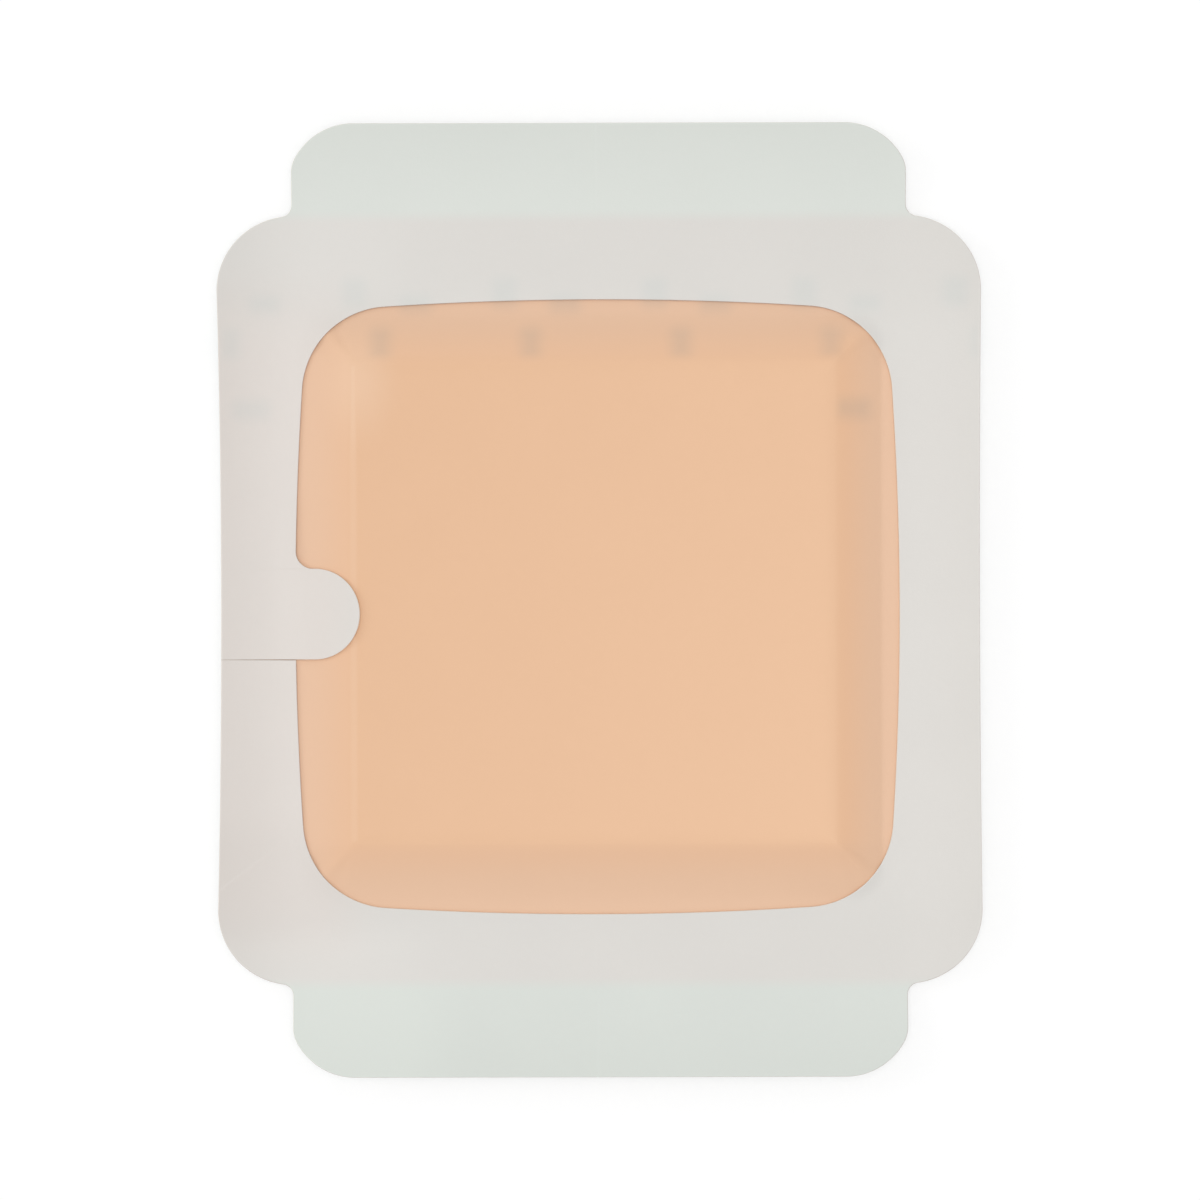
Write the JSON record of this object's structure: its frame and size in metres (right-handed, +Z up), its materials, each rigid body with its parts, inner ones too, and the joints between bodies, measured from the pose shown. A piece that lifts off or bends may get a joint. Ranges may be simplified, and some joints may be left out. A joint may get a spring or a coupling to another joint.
{
  "type": "adhesive foam dressing",
  "caption": "Adhesive wound dressing: a square foam pad under a thin tan film, on a release liner with pull tabs, held flat by a windowed delivery frame.",
  "frame": {"origin": "middle of the release liner's underside, which lies flat on the surface under the pad", "axes": "+Z up out of the dressing's film side, +Y towards one pull tab, +X to the right, away from the finger tab"},
  "size_m": [0.1016, 0.1266, 0.0036],
  "materials": {
    "liner_paper": "smooth silicone-coated paper",
    "pad_foam": "fine open-cell foam, matt",
    "tan_film": "thin satin film with a fine surface grain",
    "frame_film": "translucent satin carrier film"
  },
  "bodies": {
    "root": {"release_liner": "liner_paper", "foam_pad": "pad_foam", "backing_film": "tan_film", "delivery_frame": "frame_film"}
  },
  "joints": []
}
